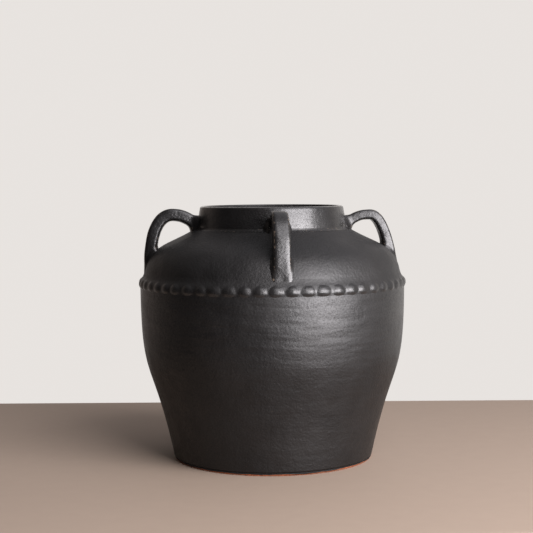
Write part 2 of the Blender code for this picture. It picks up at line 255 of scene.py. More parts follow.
def foot_material():
    """Bare red clay below a wandering glaze edge, wire marks underneath, glaze on the inside floor."""
    material, tree = clay_material("bare_foot")
    place = object_place(tree)
    coat = put(tree, "ShaderNodeGroup", {"Satin": 0.70, "Glassy": 0.0}, node_tree=FIRED_GLAZE).outputs
    wander = speckle(tree, place, *WIPED_EDGE)
    edge = calc(tree, "MULTIPLY_ADD", wander, WIPED_EDGE_RISE, WIPED_EDGE_START)
    over_edge = calc(tree, "SUBTRACT", split(tree, place)[2], edge)
    glazed = ramped(tree, over_edge, -WIPED_EDGE_BLUR, WIPED_EDGE_BLUR)
    grog = speckle(tree, place, *GROG)
    clay = blended(tree, ramped(tree, grog, *GROG_SHOWS), BARE_CLAY, BARE_CLAY_PALE)
    smoke = ramped(tree, speckle(tree, place, *SMOKE), *SMOKE_SHOWS)
    colour = blended(tree, glazed, blended(tree, smoke, clay, THIN_GLAZE_AND_LIP_SHEEN), coat["Color"])
    smoother = calc(tree, "SUBTRACT", coat["Roughness"], BARE_ROUGHNESS)
    roughness = calc(tree, "MULTIPLY_ADD", smoother, glazed, BARE_ROUGHNESS)
    sockets = {"Vector": steer(tree, "ADD", place, WIRE_CENTRE), **WIRE_MARKS}
    wire = put(tree, "ShaderNodeTexWave", sockets, wave_type="RINGS", rings_direction="Z").outputs["Fac"]
    raw = calc(tree, "MULTIPLY_ADD", wire, WIRE_DEPTH, calc(tree, "MULTIPLY", grog, GROG_DEPTH))
    step = calc(tree, "MULTIPLY_ADD", glazed, GLAZE_STEP, calc(tree, "MULTIPLY", coat["Height"], glazed))
    height = calc(tree, "MULTIPLY_ADD", raw, calc(tree, "SUBTRACT", 1.0, glazed), step)
    skin = calc(tree, "MULTIPLY", coat["Skin"], glazed)
    finish_with(tree, colour, roughness, skin, height, sheen=0.25)
    return material


def lumps(tree, place, seed, scale, detail):
    """Seeded noise at a place, half below nought and half above, as an output."""
    sockets = {"Vector": place, "W": seed, "Scale": scale, "Detail": detail}
    noise = put(tree, "ShaderNodeTexNoise", sockets, noise_dimensions="4D").outputs[0]
    return calc(tree, "SUBTRACT", noise, 0.5)


def card_along(tree, columns, rows, line):
    """A card of points to wrap round a line: its mesh, each point's two shares, and the line there."""
    sockets = {"Size X": 1.0, "Size Y": 1.0, "Vertices X": columns, "Vertices Y": rows}
    card = put(tree, "GeometryNodeMeshGrid", sockets).outputs["Mesh"]
    here = split(tree, put(tree, "GeometryNodeInputPosition").outputs[0])
    around, share = (calc(tree, "ADD", here[k], 0.5) for k in (0, 1))
    at = put(tree, "GeometryNodeSampleCurve", {"Curves": line, "Factor": share},
             mode="FACTOR", use_all_curves=True).outputs
    return card, around, share, at


def round_axis(tree, around):
    """The cosine and sine of a share of a full turn, as outputs."""
    turn = calc(tree, "MULTIPLY", around, math.tau)
    return [calc(tree, way, turn) for way in ("COSINE", "SINE")]


def wobble(tree, given, ways, height):
    """How far thrown clay strays from round at a place, as an output."""
    spot = placed(tree, *ways, calc(tree, "MULTIPLY", height, WOBBLE_CLIMB))
    uneven = lumps(tree, spot, given["Seed"], *WOBBLE)
    return calc(tree, "MULTIPLY", calc(tree, "MULTIPLY", uneven, given["Out of Round"]), 2.0)


def spun(tree, ways, reach, height):
    """A place at a distance from the axis, as an output."""
    return placed(tree, *(calc(tree, "MULTIPLY", reach, way) for way in ways), height)


def shaped(tree, given, result, card, position):
    """Ends a geometry tree: points moved, seams merged, instances made real, glaze put on."""
    geometry = card
    for kind, sockets in (
        ("GeometryNodeSetPosition", {"Position": position}),
        ("GeometryNodeMergeByDistance", {"Distance": SEAM_MERGE}),
        ("GeometryNodeRealizeInstances", {}),
        ("GeometryNodeSetMaterial", {"Material": given["Material"]}),
    ):
        geometry = put(tree, kind, {"Geometry": geometry, **sockets}).outputs[0]
    tree.links.new(geometry, result["Geometry"])
    return tree


def wheel_tree():
    """Geometry nodes for the wheel: a profile line turned about the axis, a little out of round."""
    tree, given, result = group_with(
        "thrown_on_wheel", "GeometryNodeTree",
        {"Profile": "Geometry", "Facets": WHEEL_FACETS, "Rows": 160, "Out of Round": OUT_OF_ROUND,
         "Seed": WHEEL_SEED, "Material": "Material"},
        {"Geometry": "Geometry"},
    )
    facets, rows = (calc(tree, "ADD", given[k], 1.0) for k in ("Facets", "Rows"))
    card, around, _, at = card_along(tree, facets, rows, given["Profile"])
    radius, _, height = split(tree, at["Position"])
    ways = round_axis(tree, around)
    free = calc(tree, "MINIMUM", calc(tree, "MULTIPLY", radius, 1.0 / TRUE_WITHIN), 1.0)
    reach = calc(tree, "MULTIPLY_ADD", wobble(tree, given, ways, height), free, radius)
    return shaped(tree, given, result, card, spun(tree, ways, reach, height))


WHEEL = wheel_tree()


def line_object(name, points, cyclic):
    """A curve through points in the plane of a profile: first the radius, then the height."""
    curve = bpy.data.curves.new(name, "CURVE")
    curve.dimensions = "3D"
    spline = curve.splines.new("POLY")
    spline.points.add(len(points) - 1)
    for knot, (radius, height) in zip(spline.points, points):
        knot.co = (radius, 0.0, height, 1.0)
    spline.use_cyclic_u = cyclic
    made = bpy.data.objects.new(name, curve)
    bpy.context.scene.collection.objects.link(made)
    return made


def made_solid(name, source, tree, inputs):
    """Runs a geometry tree on an object and keeps a plain mesh, faces out, shaded smooth."""
    worker = source.modifiers.new("shape", "NODES")
    worker.node_group = tree
    keys = {s.name: s.identifier for s in tree.interface.items_tree if s.in_out == "INPUT"}
    for label, value in inputs.items():
        worker[keys[label]] = value
    worked = source.evaluated_get(bpy.context.evaluated_depsgraph_get())
    mesh = bpy.data.meshes.new_from_object(worked)
    line = source.data
    bpy.data.objects.remove(source)
    bpy.data.curves.remove(line)
    mesh.name = name

    shape = bmesh.new()
    shape.from_mesh(mesh)
    bmesh.ops.recalc_face_normals(shape, faces=shape.faces)
    if shape.calc_volume(signed=True) < 0.0:
        bmesh.ops.reverse_faces(shape, faces=shape.faces)
    shape.to_mesh(mesh)
    shape.free()
    mesh.shade_smooth()
    made = bpy.data.objects.new(name, mesh)
    bpy.context.scene.collection.objects.link(made)
    return made


def thrown(name, points, material, rows, cyclic=True):
    """A piece turned on the wheel from its profile."""
    return made_solid(name, line_object(name, points, cyclic), WHEEL, {
        "Facets": WHEEL_FACETS, "Rows": rows, "Out of Round": OUT_OF_ROUND, "Seed": WHEEL_SEED,
        "Material": material,
    })


def belongs(piece, slot, *nodes):
    """The piece rides on the pot and stands for these nodes; the slot is not used."""
    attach(piece, "root")
    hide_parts(*nodes)


foot_edge = [(FOOT_RADIUS - inward * FOOT_BEVEL, up * FOOT_BEVEL) for inward, up in FOOT_BEVEL_SHAPE]
foot_seat = BARE_EDGE + FOOT_LAP
foot = thrown("bare_foot", [(0.0, 0.0)] + foot_edge + [
    (FOOT_RADIUS + FOOT_LEAN * BARE_EDGE, foot_seat), (FLOOR_BOSS, foot_seat),
    (FLOOR_BOSS, FLOOR_TOP), (0.0, FLOOR_TOP),
], foot_material(), rows=150, cyclic=False)
belongs(foot, "bare_clay", "base_disc")


# The belly is thrown in red clay and stands on the edge of the floor, round its boss. Its black
# glaze is satin and drier towards the foot, and rolls over the bare clay there. Throwing lines
# show most under the bead row.
WALL_HEIGHT = 0.1767
WALL_RADIUS = 0.1317
WALL_THICKNESS = 0.0075
WALL_LOW_PULL = 0.605
WALL_HIGH_PULL = 0.59
SEAM_CUT = 0.0030
GLAZE_ROLL = 0.0007
GLAZE_ROLL_SHAPE = ((-0.2, -1.0), (0.25, -0.45))
DRY_BELOW = 0.075
GLOSSY_ABOVE = 0.165


def bezier(points, steps=80):
    """Points of one cubic curve, ends included."""
    a, b, c, d = (Vector(p) for p in points)
    ts = [k / steps for k in range(steps + 1)]
    return [a * (1 - t) ** 3 + b * 3 * t * (1 - t) ** 2 + c * 3 * t * t * (1 - t) + d * t**3 for t in ts]


def inside_of(points, thickness):
    """The inner face of a wall, from its outer line."""
    moved = []
    for before, here, after in zip(points[:1] + points[:-1], points, points[1:] + points[-1:]):
        along = (after - before).normalized()
        moved.append(here - Vector((along.y, -along.x)) * thickness)
    return moved


def glaze_over(material, tree, marks, **shader_values):
    """Puts fired glaze with these values on a material."""
    coat = put(tree, "ShaderNodeGroup", marks, node_tree=FIRED_GLAZE).outputs
    finish_with(tree, *(coat[k] for k in ("Color", "Roughness", "Skin", "Height")), **shader_values)
    return material


def glaze(name, satin, glassy, lines, streaks=0.0, worn_by=None, heights=None, above=None,
          **shader_values):
    """Black glaze for one piece: changed above two heights, thin where an attribute says so."""
    material, tree = clay_material(name)
    marks = {"Satin": satin, "Glassy": glassy, "Throwing Lines": lines, "Streaks": streaks}
    if worn_by:
        marks["Thin And Lip Sheen"] = put(tree, "ShaderNodeAttribute", attribute_name=worn_by).outputs["Fac"]
    if heights:
        level = split(tree, object_place(tree))[2]
        for label, value in zip(("Satin", "Glassy", "Throwing Lines"), above):
            marks[label] = ramped(tree, level, *heights, marks[label], value)
    return glaze_over(material, tree, marks, **shader_values)


wall_line = bezier((
    (FOOT_RADIUS, 0.0),
    (FOOT_RADIUS + FOOT_LEAN * WALL_LOW_PULL * WALL_HEIGHT, WALL_LOW_PULL * WALL_HEIGHT),
    (WALL_RADIUS, WALL_HEIGHT * (1 - WALL_HIGH_PULL)),
    (WALL_RADIUS, WALL_HEIGHT),
))
wall_outside = [p for p in wall_line if BARE_EDGE + GLAZE_ROLL < p.y < WALL_HEIGHT - SEAM_CUT]
wall_outside.append(Vector((WALL_RADIUS - SEAM_CUT, WALL_HEIGHT)))
wall_inside = [p for p in inside_of(wall_line, WALL_THICKNESS) if p.y > BARE_EDGE]
glaze_edge = [wall_outside[0] + Vector(way) * GLAZE_ROLL for way in GLAZE_ROLL_SHAPE]
belly_glaze = glaze(
    "belly_glaze", satin=0.50, glassy=0.06, lines=2.0, streaks=0.6,
    heights=(DRY_BELOW, GLOSSY_ABOVE), above=(0.49, 0.83, 7.0), sheen=0.30, skin_roughness=0.40,
)
wall = thrown("belly_wall", glaze_edge + wall_outside + wall_inside[::-1], belly_glaze, rows=240)
belongs(wall, "black_glaze", "body_wall")


# Two coils of soft clay seal the inside: one wiped hollow into the angle of the floor, one
# pressed up into the seam under the shoulder. Both are glazed over.
FLOOR_COIL = 0.0100
SEAM_COIL = 0.0060
COIL_STEPS = 12
COIL_SWEEP = (0, -90)  # degrees
SHOULDER_THICKNESS = 0.0075
SHOULDER_SET_IN = 0.0035
SHOULDER_RADIUS = WALL_RADIUS - SHOULDER_SET_IN


def radius_at(points, height):
    """The radius of a rising line at a height."""
    for low, high in zip(points, points[1:]):
        if low.y <= height <= high.y:
            return low.x + (high.x - low.x) * (height - low.y) / (high.y - low.y)
    return points[-1].x


def arc(centre, radius, start, end, steps=8):
    """Points of an arc in the plane of a profile, angles in degrees."""
    turns = [math.radians(start + (end - start) * k / steps) for k in range(steps + 1)]
    return [Vector((centre[0] + radius * math.cos(t), centre[1] + radius * math.sin(t))) for t in turns]


inside_glaze = glaze("inside_glaze", satin=0.60, glassy=0.05, lines=1.6)
coil_top = FLOOR_TOP + FLOOR_COIL
coil_low, coil_high = radius_at(wall_inside, FLOOR_TOP), radius_at(wall_inside, coil_top)
coil_face = arc((coil_high - FLOOR_COIL, coil_top), FLOOR_COIL, *COIL_SWEEP, COIL_STEPS)
floor_coil = thrown("floor_coil_wiped", [(coil_low, FLOOR_TOP)] + coil_face, inside_glaze, rows=60)
belongs(floor_coil, "black_glaze", "floor_coil")
seam_inner = SHOULDER_RADIUS - SHOULDER_THICKNESS
seam_foot, seam_middle = WALL_HEIGHT - SEAM_COIL, WALL_HEIGHT - SEAM_COIL / 2
seam_low = radius_at(wall_inside, seam_foot)
seam_coil = thrown("seam_coil_pressed", [(seam_low, WALL_HEIGHT)] + bezier((
    (seam_low, seam_foot), (seam_low - SEAM_COIL / 2, seam_middle),
    (seam_inner, seam_middle), (seam_inner, WALL_HEIGHT),
), COIL_STEPS), inside_glaze, rows=50)
belongs(seam_coil, "black_glaze", "seam_coil")


# The shoulder is thrown separately, in the same clay, and luted onto the belly a little inside
# its edge. Close to the collar it flattens to a narrow ledge.
SHOULDER_RISE = 0.0511
SHOULDER_LEAN_IN = 0.0006
SHOULDER_FULLNESS = 0.71
LEDGE_REACH = 0.0256
LEDGE_DROP = 0.0157
SHOULDER_GLAZE = (0.53, 0.05, 0.8)  # satin, glassy, throwing lines
COLLAR_RADIUS = 0.0746
COLLAR_FLARE = 0.0042
COLLAR_TAPER = 0.0020
COLLAR_THICKNESS = 0.0062
NECK_HEIGHT = WALL_HEIGHT + SHOULDER_RISE
NECK_RADIUS = COLLAR_RADIUS + COLLAR_FLARE
BORE_RADIUS = COLLAR_RADIUS - COLLAR_TAPER - COLLAR_THICKNESS
shoulder_line = bezier((
    (SHOULDER_RADIUS, WALL_HEIGHT),
    (SHOULDER_RADIUS - SHOULDER_LEAN_IN, WALL_HEIGHT + SHOULDER_FULLNESS * SHOULDER_RISE),
    (NECK_RADIUS + LEDGE_REACH, NECK_HEIGHT - LEDGE_DROP),
    (NECK_RADIUS, NECK_HEIGHT),
))
shoulder_inside = [p for p in inside_of(shoulder_line, SHOULDER_THICKNESS) if p.x > BORE_RADIUS]
shoulder = thrown(
    "thrown_shoulder", shoulder_line + [Vector((BORE_RADIUS, NECK_HEIGHT))] + shoulder_inside[::-1],
    glaze("shoulder_glaze", *SHOULDER_GLAZE), rows=200,
)
belongs(shoulder, "black_glaze", "shoulder")


# The collar is a ring of the same clay, turned upright on the shoulder: a wiped foot, a slight
# taper and a soft lip. It is the glossiest piece, with its glaze thin at the foot. At the lip a brown
# band is painted: partly thin glaze, partly a painted highlight line.
COLLAR_HEIGHT = 0.0235
COLLAR_LAP = 0.0004
RIM_ROUNDING = 0.0024
BORE_ROUNDING = RIM_ROUNDING / 2
LIP_DRAWN_IN = 0.0010
RIM_HEIGHT = NECK_HEIGHT + COLLAR_HEIGHT
RIM_RADIUS = COLLAR_RADIUS - COLLAR_TAPER - LIP_DRAWN_IN
WIPED_SWEEP, LIP_SWEEP, BORE_SWEEP = (262, 180), (5, 90), (90, 180)  # degrees
COLLAR_SATIN = 0.38
COLLAR_GLASSY = 0.65
COLLAR_LINES = 0.7
BORE_SATIN = 0.78
BORE_BLUR = (BORE_RADIUS + 0.0006, BORE_RADIUS + 0.0014)
# Height band of the lip painted brown: partly thin glaze, partly a painted highlight line.
LIP_SHEEN_AND_THIN = (RIM_HEIGHT - 0.0010, RIM_HEIGHT + 0.0006)
LIP_POLISH = (RIM_HEIGHT - 0.0014, RIM_HEIGHT - 0.0004)
LIP_SMOOTHS = -0.5
LIP_GLASSY = 1.2
COLLAR_FOOT_THIN = (NECK_HEIGHT + 0.0020, NECK_HEIGHT + 0.0050, 0.76, 0.0)


def collar_glaze():
    """Glossy outside, dull inside, polished at the lip under a brown band of thin glaze that is also a
    painted highlight, thin at the wiped foot.
    """
    material, tree = clay_material("collar_glaze")
    place = object_place(tree)
    level = split(tree, place)[2]
    reach = steer(tree, "LENGTH", steer(tree, "MULTIPLY", place, (1.0, 1.0, 0.0)))
    # Brown at the lip is partly a painted highlight; at the foot it is thin glaze.
    worn_and_lip_sheen = calc(tree, "MAXIMUM", ramped(tree, level, *LIP_SHEEN_AND_THIN), ramped(tree, level, *COLLAR_FOOT_THIN))
    polished = ramped(tree, level, *LIP_POLISH)
    smoother = calc(tree, "MULTIPLY_ADD", polished, LIP_SMOOTHS, 1.0)
    satin = calc(tree, "MULTIPLY", ramped(tree, reach, *BORE_BLUR, BORE_SATIN, COLLAR_SATIN), smoother)
    outside = ramped(tree, reach, *BORE_BLUR, 0.0, COLLAR_GLASSY)
    glassy = calc(tree, "MULTIPLY_ADD", polished, LIP_GLASSY - COLLAR_GLASSY, outside)
    marks = {"Thin And Lip Sheen": worn_and_lip_sheen, "Satin": satin, "Glassy": glassy, "Throwing Lines": COLLAR_LINES}
    return glaze_over(material, tree, marks)


lip_centre = RIM_RADIUS - RIM_ROUNDING, RIM_HEIGHT - RIM_ROUNDING
bore_centre = BORE_RADIUS + BORE_ROUNDING, RIM_HEIGHT - BORE_ROUNDING
collar_outside = arc((NECK_RADIUS, NECK_HEIGHT + COLLAR_FLARE), COLLAR_FLARE, *WIPED_SWEEP)
collar_outside += arc(lip_centre, RIM_ROUNDING, *LIP_SWEEP)
collar_inside = arc(bore_centre, BORE_ROUNDING, *BORE_SWEEP)
collar_inside.append(Vector((BORE_RADIUS, NECK_HEIGHT - COLLAR_LAP)))
collar = thrown("thrown_collar", collar_outside + collar_inside, collar_glaze(), rows=200)
belongs(collar, "black_glaze", "neck_collar")


# A coil of clay is bedded over the seam and pressed with a fingertip into a row of soft beads,
# by eye, so no two are quite alike. The presses drag a little way up the shoulder.
BEADS = 56
BEAD_COLUMNS = 18
BAND_ROWS = 84
BEAD_CREST = WALL_HEIGHT - 0.0017
CREST_RADIUS = WALL_RADIUS + 0.0015
BEAD_DROP = 0.0041
BEAD_CLIMB = 0.0064
BEAD_FILL = 0.97
BEAD_ROUNDNESS = 1.35
SPACED_BY_EYE = (7.0, 5.0, 0.45)  # noise scale along the row, seed added, most
SIZED_BY_EYE = (9.0, 9.0, 0.35)
BAND_LOW, BAND_HIGH = BEAD_CREST - BEAD_DROP, BEAD_CREST + 0.0150
BAND_TUCK_LOW = Vector((-0.0004, -0.0022))
BAND_TUCK_HIGH = 0.0002
BAND_SWELL = ((0.0, 0.0006), (0.0007, 0.0014))
BAND_TURN = Vector((WALL_RADIUS - 0.0023, WALL_HEIGHT + 0.0051))
BAND_SLOPE = Vector((-0.56, 0.83))
BAND_PULLS = (0.0038, 0.0018)
BAND_DRAG = Vector((0.0014, -0.0052))
BAND_THICKNESS = 0.0012
BAND_STEPS, DRAG_STEPS = 24, 14
BEADS_END = (BEAD_CREST + 0.0020, BEAD_CREST + 0.0090)


def bead_tree():
    """Geometry nodes for the band: a section turned about the axis and swelled bead by bead."""
    tree, given, result = group_with(
        "pressed_beads", "GeometryNodeTree",
        {"Section": "Geometry", "Beads": BEADS, "Columns": BEAD_COLUMNS, "Rows": BAND_ROWS,
         "Front Share": 0.5, "Crest Height": BEAD_CREST, "Drop": BEAD_DROP, "Climb": BEAD_CLIMB,
         "Fill": BEAD_FILL, "Crest Radius": CREST_RADIUS, "Out of Round": OUT_OF_ROUND,
         "Seed": WHEEL_SEED, "Material": "Material"},
        {"Geometry": "Geometry"},
    )
    columns = calc(tree, "MULTIPLY_ADD", given["Beads"], given["Columns"], 1.0)
    rows = calc(tree, "ADD", given["Rows"], 1.0)
    card, around, share, at = card_along(tree, columns, rows, given["Section"])
    radius, _, height = split(tree, at["Position"])
    ways = round_axis(tree, around)
    ring = placed(tree, *ways)

    def by_eye(scale, seed_added, most, meant):
        """A value as the hand strays about it along the row, as an output."""
        seed = calc(tree, "ADD", given["Seed"], seed_added)
        return calc(tree, "MULTIPLY_ADD", lumps(tree, ring, seed, scale, 1.0), most, meant)

    pressed = by_eye(*SPACED_BY_EYE, calc(tree, "MULTIPLY", around, given["Beads"]))
    middle = calc(tree, "MULTIPLY_ADD", calc(tree, "FRACT", pressed), 2.0, -1.0)
    across = calc(tree, "DIVIDE", middle, given["Fill"])
    size = by_eye(*SIZED_BY_EYE, 1.0)
    lift = calc(tree, "SUBTRACT", height, given["Crest Height"])
    upper = calc(tree, "GREATER_THAN", lift, 0.0)
    span = put(tree, "ShaderNodeMix", {0: upper, 2: given["Drop"], 3: given["Climb"]}, data_type="FLOAT")
    along = calc(tree, "DIVIDE", lift, span.outputs[0])
    sunk = calc(tree, "MULTIPLY_ADD", across, across, calc(tree, "MULTIPLY", along, along))
    dome = calc(tree, "MAXIMUM", calc(tree, "SUBTRACT", 1.0, sunk), 0.0)
    dome = calc(tree, "MULTIPLY", calc(tree, "POWER", dome, BEAD_ROUNDNESS), size)
    bead = calc(tree, "MULTIPLY", dome, calc(tree, "SUBTRACT", given["Crest Radius"], radius))
    raised = calc(tree, "MULTIPLY", bead, calc(tree, "LESS_THAN", share, given["Front Share"]))
    reach = calc(tree, "ADD", calc(tree, "ADD", radius, raised), wobble(tree, given, ways, height))
    return shaped(tree, given, result, card, spun(tree, ways, reach, height))


band_top = Vector((radius_at(shoulder_line, BAND_HIGH) - BAND_TUCK_HIGH, BAND_HIGH))
band_front = [Vector((radius_at(wall_line, BAND_LOW), BAND_LOW)) + BAND_TUCK_LOW]
band_front += bezier((
    (WALL_RADIUS + BAND_SWELL[0][0], BAND_LOW + BAND_SWELL[0][1]),
    (WALL_RADIUS + BAND_SWELL[1][0], BEAD_CREST + BAND_SWELL[1][1]),
    BAND_TURN - BAND_SLOPE * BAND_PULLS[0], BAND_TURN,
), BAND_STEPS)
band_front += bezier((
    BAND_TURN, BAND_TURN + BAND_SLOPE * BAND_PULLS[1], band_top + BAND_DRAG, band_top,
), DRAG_STEPS)[1:]
band_back = [Vector((p.x - BAND_THICKNESS, p.y)) for p in (band_front[-1], band_front[0])]
band_loop = band_front + band_back
lengths = [(q - p).length for p, q in zip(band_loop, band_loop[1:] + band_loop[:1])]
band_line = line_object("beaded_band_pressed", band_loop, True)
bead_glaze = glaze(
    "bead_glaze", satin=0.44, glassy=0.45, lines=0.0, heights=BEADS_END, above=SHOULDER_GLAZE,
)
band = made_solid("beaded_band_pressed", band_line, bead_tree(), {
    "Beads": BEADS, "Columns": BEAD_COLUMNS, "Rows": BAND_ROWS,
    "Front Share": sum(lengths[:len(band_front) - 1]) / sum(lengths),
    "Crest Height": BEAD_CREST, "Drop": BEAD_DROP, "Climb": BEAD_CLIMB, "Fill": BEAD_FILL,
    "Crest Radius": CREST_RADIUS, "Out of Round": OUT_OF_ROUND, "Seed": WHEEL_SEED,
    "Material": bead_glaze,
})
belongs(band, "black_glaze", "beaded_band")


# Each handle is a strap pulled from wet clay, squared with the fingers, bent over and luted at the
# collar and at the shoulder. The luting is wiped into a fillet, and the glaze is thin on its edges.
HANDLE_WIDTH = 0.0156
HANDLE_ROOT_WIDTH = 0.0182
HANDLE_SQUARENESS = 4.6
HANDLE_SPRING = 0.0047
HANDLE_ROOT = 0.0106
HANDLE_BEDDED = 0.0036
HANDLE_SIDES = 64
HANDLE_ROWS = 150
HANDLE_SEED = 11.0
HANDLE_SEED_STEP = 7.0
# Degrees round the pot, twist in degrees, depth, fillet, rise and share of the arch, bend, lean.
STRAPS = {
    "front": (-90.8, 4.0, 0.0114, 0.0052, 0.0150, 0.53, 0.65, 0.0),
    "right": (0, 5.0, 0.0100, 0.0046, 0.0137, 0.51, 0.49, 0.20),
    "back": (90, -3.0, 0.0114, 0.0044, 0.0146, 0.52, 0.60, 0.0),
    "left": (180, -5.0, 0.0120, 0.0046, 0.0150, 0.53, 0.60, 0.0),
}
STRAP_STEPS = 40
LIFT_OFF = Vector((1.0, 0.80)) * 0.46
LIFT_OFF_HIDDEN = 0.3
ARCH_PULL = 0.30
ELBOW_SHARE = 0.15
TAIL = Vector((0.0005, 0.0030))
ENDS_CLOSED = 0.0005
TWIST_EASES = (0.70, 0.92, 1.0, 0.0)
ROOT_WIDENS_LATE = 3.0
ROOT_FROM = (0.5, 0.7)
ROOT_FILLET = 0.48
FILLET_REACH = 1.6
FILLET_LUMPS = (90.0, 2.0)
FILLET_UNEVEN = 0.4
SKIRT = 0.0010
SKIRT_GROWS = 1.2
FINGER_DENTS = (38.0, 2.0)
FINGER_DENT_DEPTH = 0.0016
DENTS_EASE = (0.70, 0.88, 1.0, 0.1)
WIPED_DOWN = 5.0
SKIN_FACES_UP = 0.75
TOUCHING = 1e-6
CORNER_WORN = (0.65, 0.735)


def strap_tree():
    """Geometry nodes for a handle: a squared section along a bent line, wiped onto the pot."""
    tree, given, result = group_with(
        "pulled_strap", "GeometryNodeTree",
        {"Path": "Geometry", "Sides": HANDLE_SIDES, "Rows": HANDLE_ROWS, "Width": HANDLE_WIDTH,
         "Root Width": HANDLE_ROOT_WIDTH, "Depth": 0.0, "Squareness": HANDLE_SQUARENESS, "Fillet": 0.0,
         "Bedded": HANDLE_BEDDED, "Turn": 0.0, "Twist": 0.0, "Skin": "Object", "Seed": HANDLE_SEED,
         "Material": "Material"},
        {"Geometry": "Geometry"},
    )
    sides, rows = (calc(tree, "ADD", given[k], 1.0) for k in ("Sides", "Rows"))
    card, around, share, at = card_along(tree, sides, rows, given["Path"])
    along = split(tree, at["Tangent"])
    over = placed(tree, calc(tree, "MULTIPLY", along[2], -1.0), 0.0, along[0])

    cosine, sine = round_axis(tree, around)
    power = given["Squareness"]
    total = calc(tree, "ADD", *(
        calc(tree, "POWER", calc(tree, "ABSOLUTE", k), power) for k in (cosine, sine)))
    stretch = calc(tree, "POWER", total, calc(tree, "DIVIDE", -1.0, power))
    closed = calc(tree, "MULTIPLY", calc(tree, "GREATER_THAN", share, ENDS_CLOSED),
                  calc(tree, "LESS_THAN", share, 1.0 - ENDS_CLOSED))
    stretch = calc(tree, "MULTIPLY", stretch, closed)
    across, up = (calc(tree, "MULTIPLY", stretch, k) for k in (cosine, sine))

    spread = calc(tree, "SUBTRACT", given["Root Width"], given["Width"])
    wider = calc(tree, "MULTIPLY", spread, calc(tree, "POWER", share, ROOT_WIDENS_LATE))
    half_width = calc(tree, "MULTIPLY", calc(tree, "ADD", given["Width"], wider), 0.5)
    half_depth = calc(tree, "MULTIPLY", given["Depth"], 0.5)
    wide, deep = calc(tree, "MULTIPLY", across, half_width), calc(tree, "MULTIPLY", up, half_depth)
    twist = calc(tree, "MULTIPLY", given["Twist"], ramped(tree, share, *TWIST_EASES))
    lean, upright = calc(tree, "SINE", twist), calc(tree, "COSINE", twist)
    aside = calc(tree, "MULTIPLY_ADD", wide, upright, calc(tree, "MULTIPLY", deep, lean))
    above = calc(tree, "MULTIPLY", deep, upright)
    above = calc(tree, "SUBTRACT", above, calc(tree, "MULTIPLY", wide, lean))

    def scaled(arrow, factor):
        """An arrow made longer or shorter, as an output."""
        sockets = {0: arrow, "Scale": factor}
        return put(tree, "ShaderNodeVectorMath", sockets, operation="SCALE").outputs[0]

    def turned(arrow):
        """An arrow or a place turned to the handle's side of the pot, as an output."""
        sockets = {"Vector": arrow, "Angle": given["Turn"]}
        return put(tree, "ShaderNodeVectorRotate", sockets, rotation_type="Z_AXIS").outputs[0]

    spot = steer(tree, "ADD", at["Position"], placed(tree, 0.0, aside))
    spot = steer(tree, "ADD", spot, scaled(over, above))
    facing = steer(tree, "ADD", scaled(over, sine), placed(tree, 0.0, cosine))
    spot, facing = turned(spot), turned(facing)
    skin = put(tree, "GeometryNodeObjectInfo", {"Object": given["Skin"]}).outputs["Geometry"]

    def from_skin(position):
        """From the pot's skin to a place: how far, how deep under it, the way out, the step off it."""
        near = put(tree, "GeometryNodeProximity", {0: skin}, target_element="FACES")
        tree.links.new(position, next(s for s in near.inputs if s.type == "VECTOR"))
        gap = steer(tree, "SUBTRACT", position, near.outputs["Position"])
        flat = steer(tree, "MULTIPLY", near.outputs["Position"], (1.0, 1.0, 0.0))
        outward = steer(tree, "ADD", steer(tree, "NORMALIZE", flat), (0.0, 0.0, SKIN_FACES_UP))
        under = calc(tree, "LESS_THAN", steer(tree, "DOT_PRODUCT", gap, outward), 0.0)
        distance = near.outputs["Distance"]
        return distance, calc(tree, "MULTIPLY", distance, under), outward, gap

    distance, buried, outward, _ = from_skin(spot)
    uneven = lumps(tree, spot, given["Seed"], *FILLET_LUMPS)
    uneven = calc(tree, "MULTIPLY_ADD", uneven, FILLET_UNEVEN, 1.0)
    fillet = calc(tree, "MULTIPLY", given["Fillet"], uneven)
    fillet = calc(tree, "MULTIPLY", fillet, ramped(tree, share, *ROOT_FROM, 1.0, ROOT_FILLET))
    clear = calc(tree, "SUBTRACT", distance, buried)
    reach = calc(tree, "DIVIDE", clear, calc(tree, "MULTIPLY", fillet, FILLET_REACH))
    left = calc(tree, "MAXIMUM", calc(tree, "SUBTRACT", 1.0, reach), 0.0)
    skirt = calc(tree, "MINIMUM", calc(tree, "MULTIPLY", buried, SKIRT_GROWS), SKIRT)
    flare = calc(tree, "MULTIPLY_ADD", calc(tree, "MULTIPLY", left, left), fillet, skirt)
    outer = calc(tree, "MAXIMUM", sine, 0.0)
    outer_root = calc(tree, "MULTIPLY", outer, ramped(tree, share, *ROOT_FROM))
    flare = calc(tree, "MULTIPLY", flare, calc(tree, "SUBTRACT", 1.0, outer_root))
    flare = calc(tree, "MULTIPLY", flare, closed)
    dents = lumps(tree, spot, given["Seed"], *FINGER_DENTS)
    calm = calc(tree, "MULTIPLY", closed, ramped(tree, share, *DENTS_EASE))
    flare = calc(tree, "MULTIPLY_ADD", calc(tree, "MULTIPLY", dents, calm), FINGER_DENT_DEPTH, flare)

